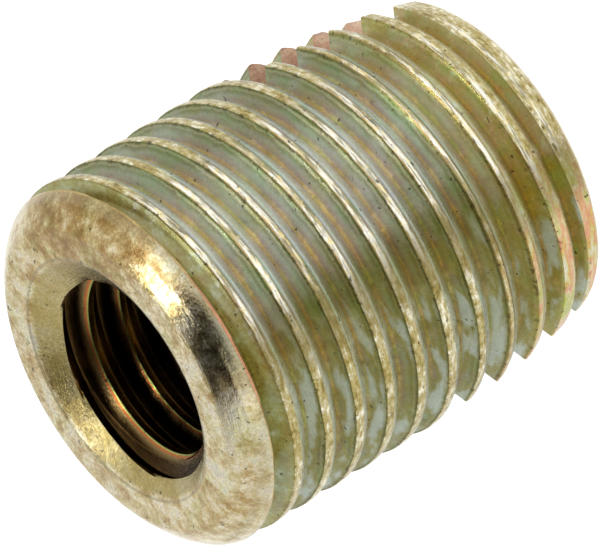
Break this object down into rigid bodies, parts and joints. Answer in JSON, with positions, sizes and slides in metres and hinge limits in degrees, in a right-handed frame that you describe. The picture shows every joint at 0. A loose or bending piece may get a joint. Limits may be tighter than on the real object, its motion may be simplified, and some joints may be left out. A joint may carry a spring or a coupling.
{
  "type": "threaded insert",
  "caption": "Self-tapping threaded insert: a short steel bush with a coarse outer thread, a threaded bore and a cutting slot across its tapered end.",
  "frame": {"origin": "on the axis, in the plane of the slotted end face it stands on", "axes": "+Z along the axis towards the plain, countersunk end; the cutting slot runs along X"},
  "size_m": [0.01, 0.01, 0.0119],
  "materials": {
    "zinc_chromate_steel": "zinc plated, yellow chromated"
  },
  "bodies": {
    "root": {"insert": "zinc_chromate_steel"}
  },
  "joints": []
}
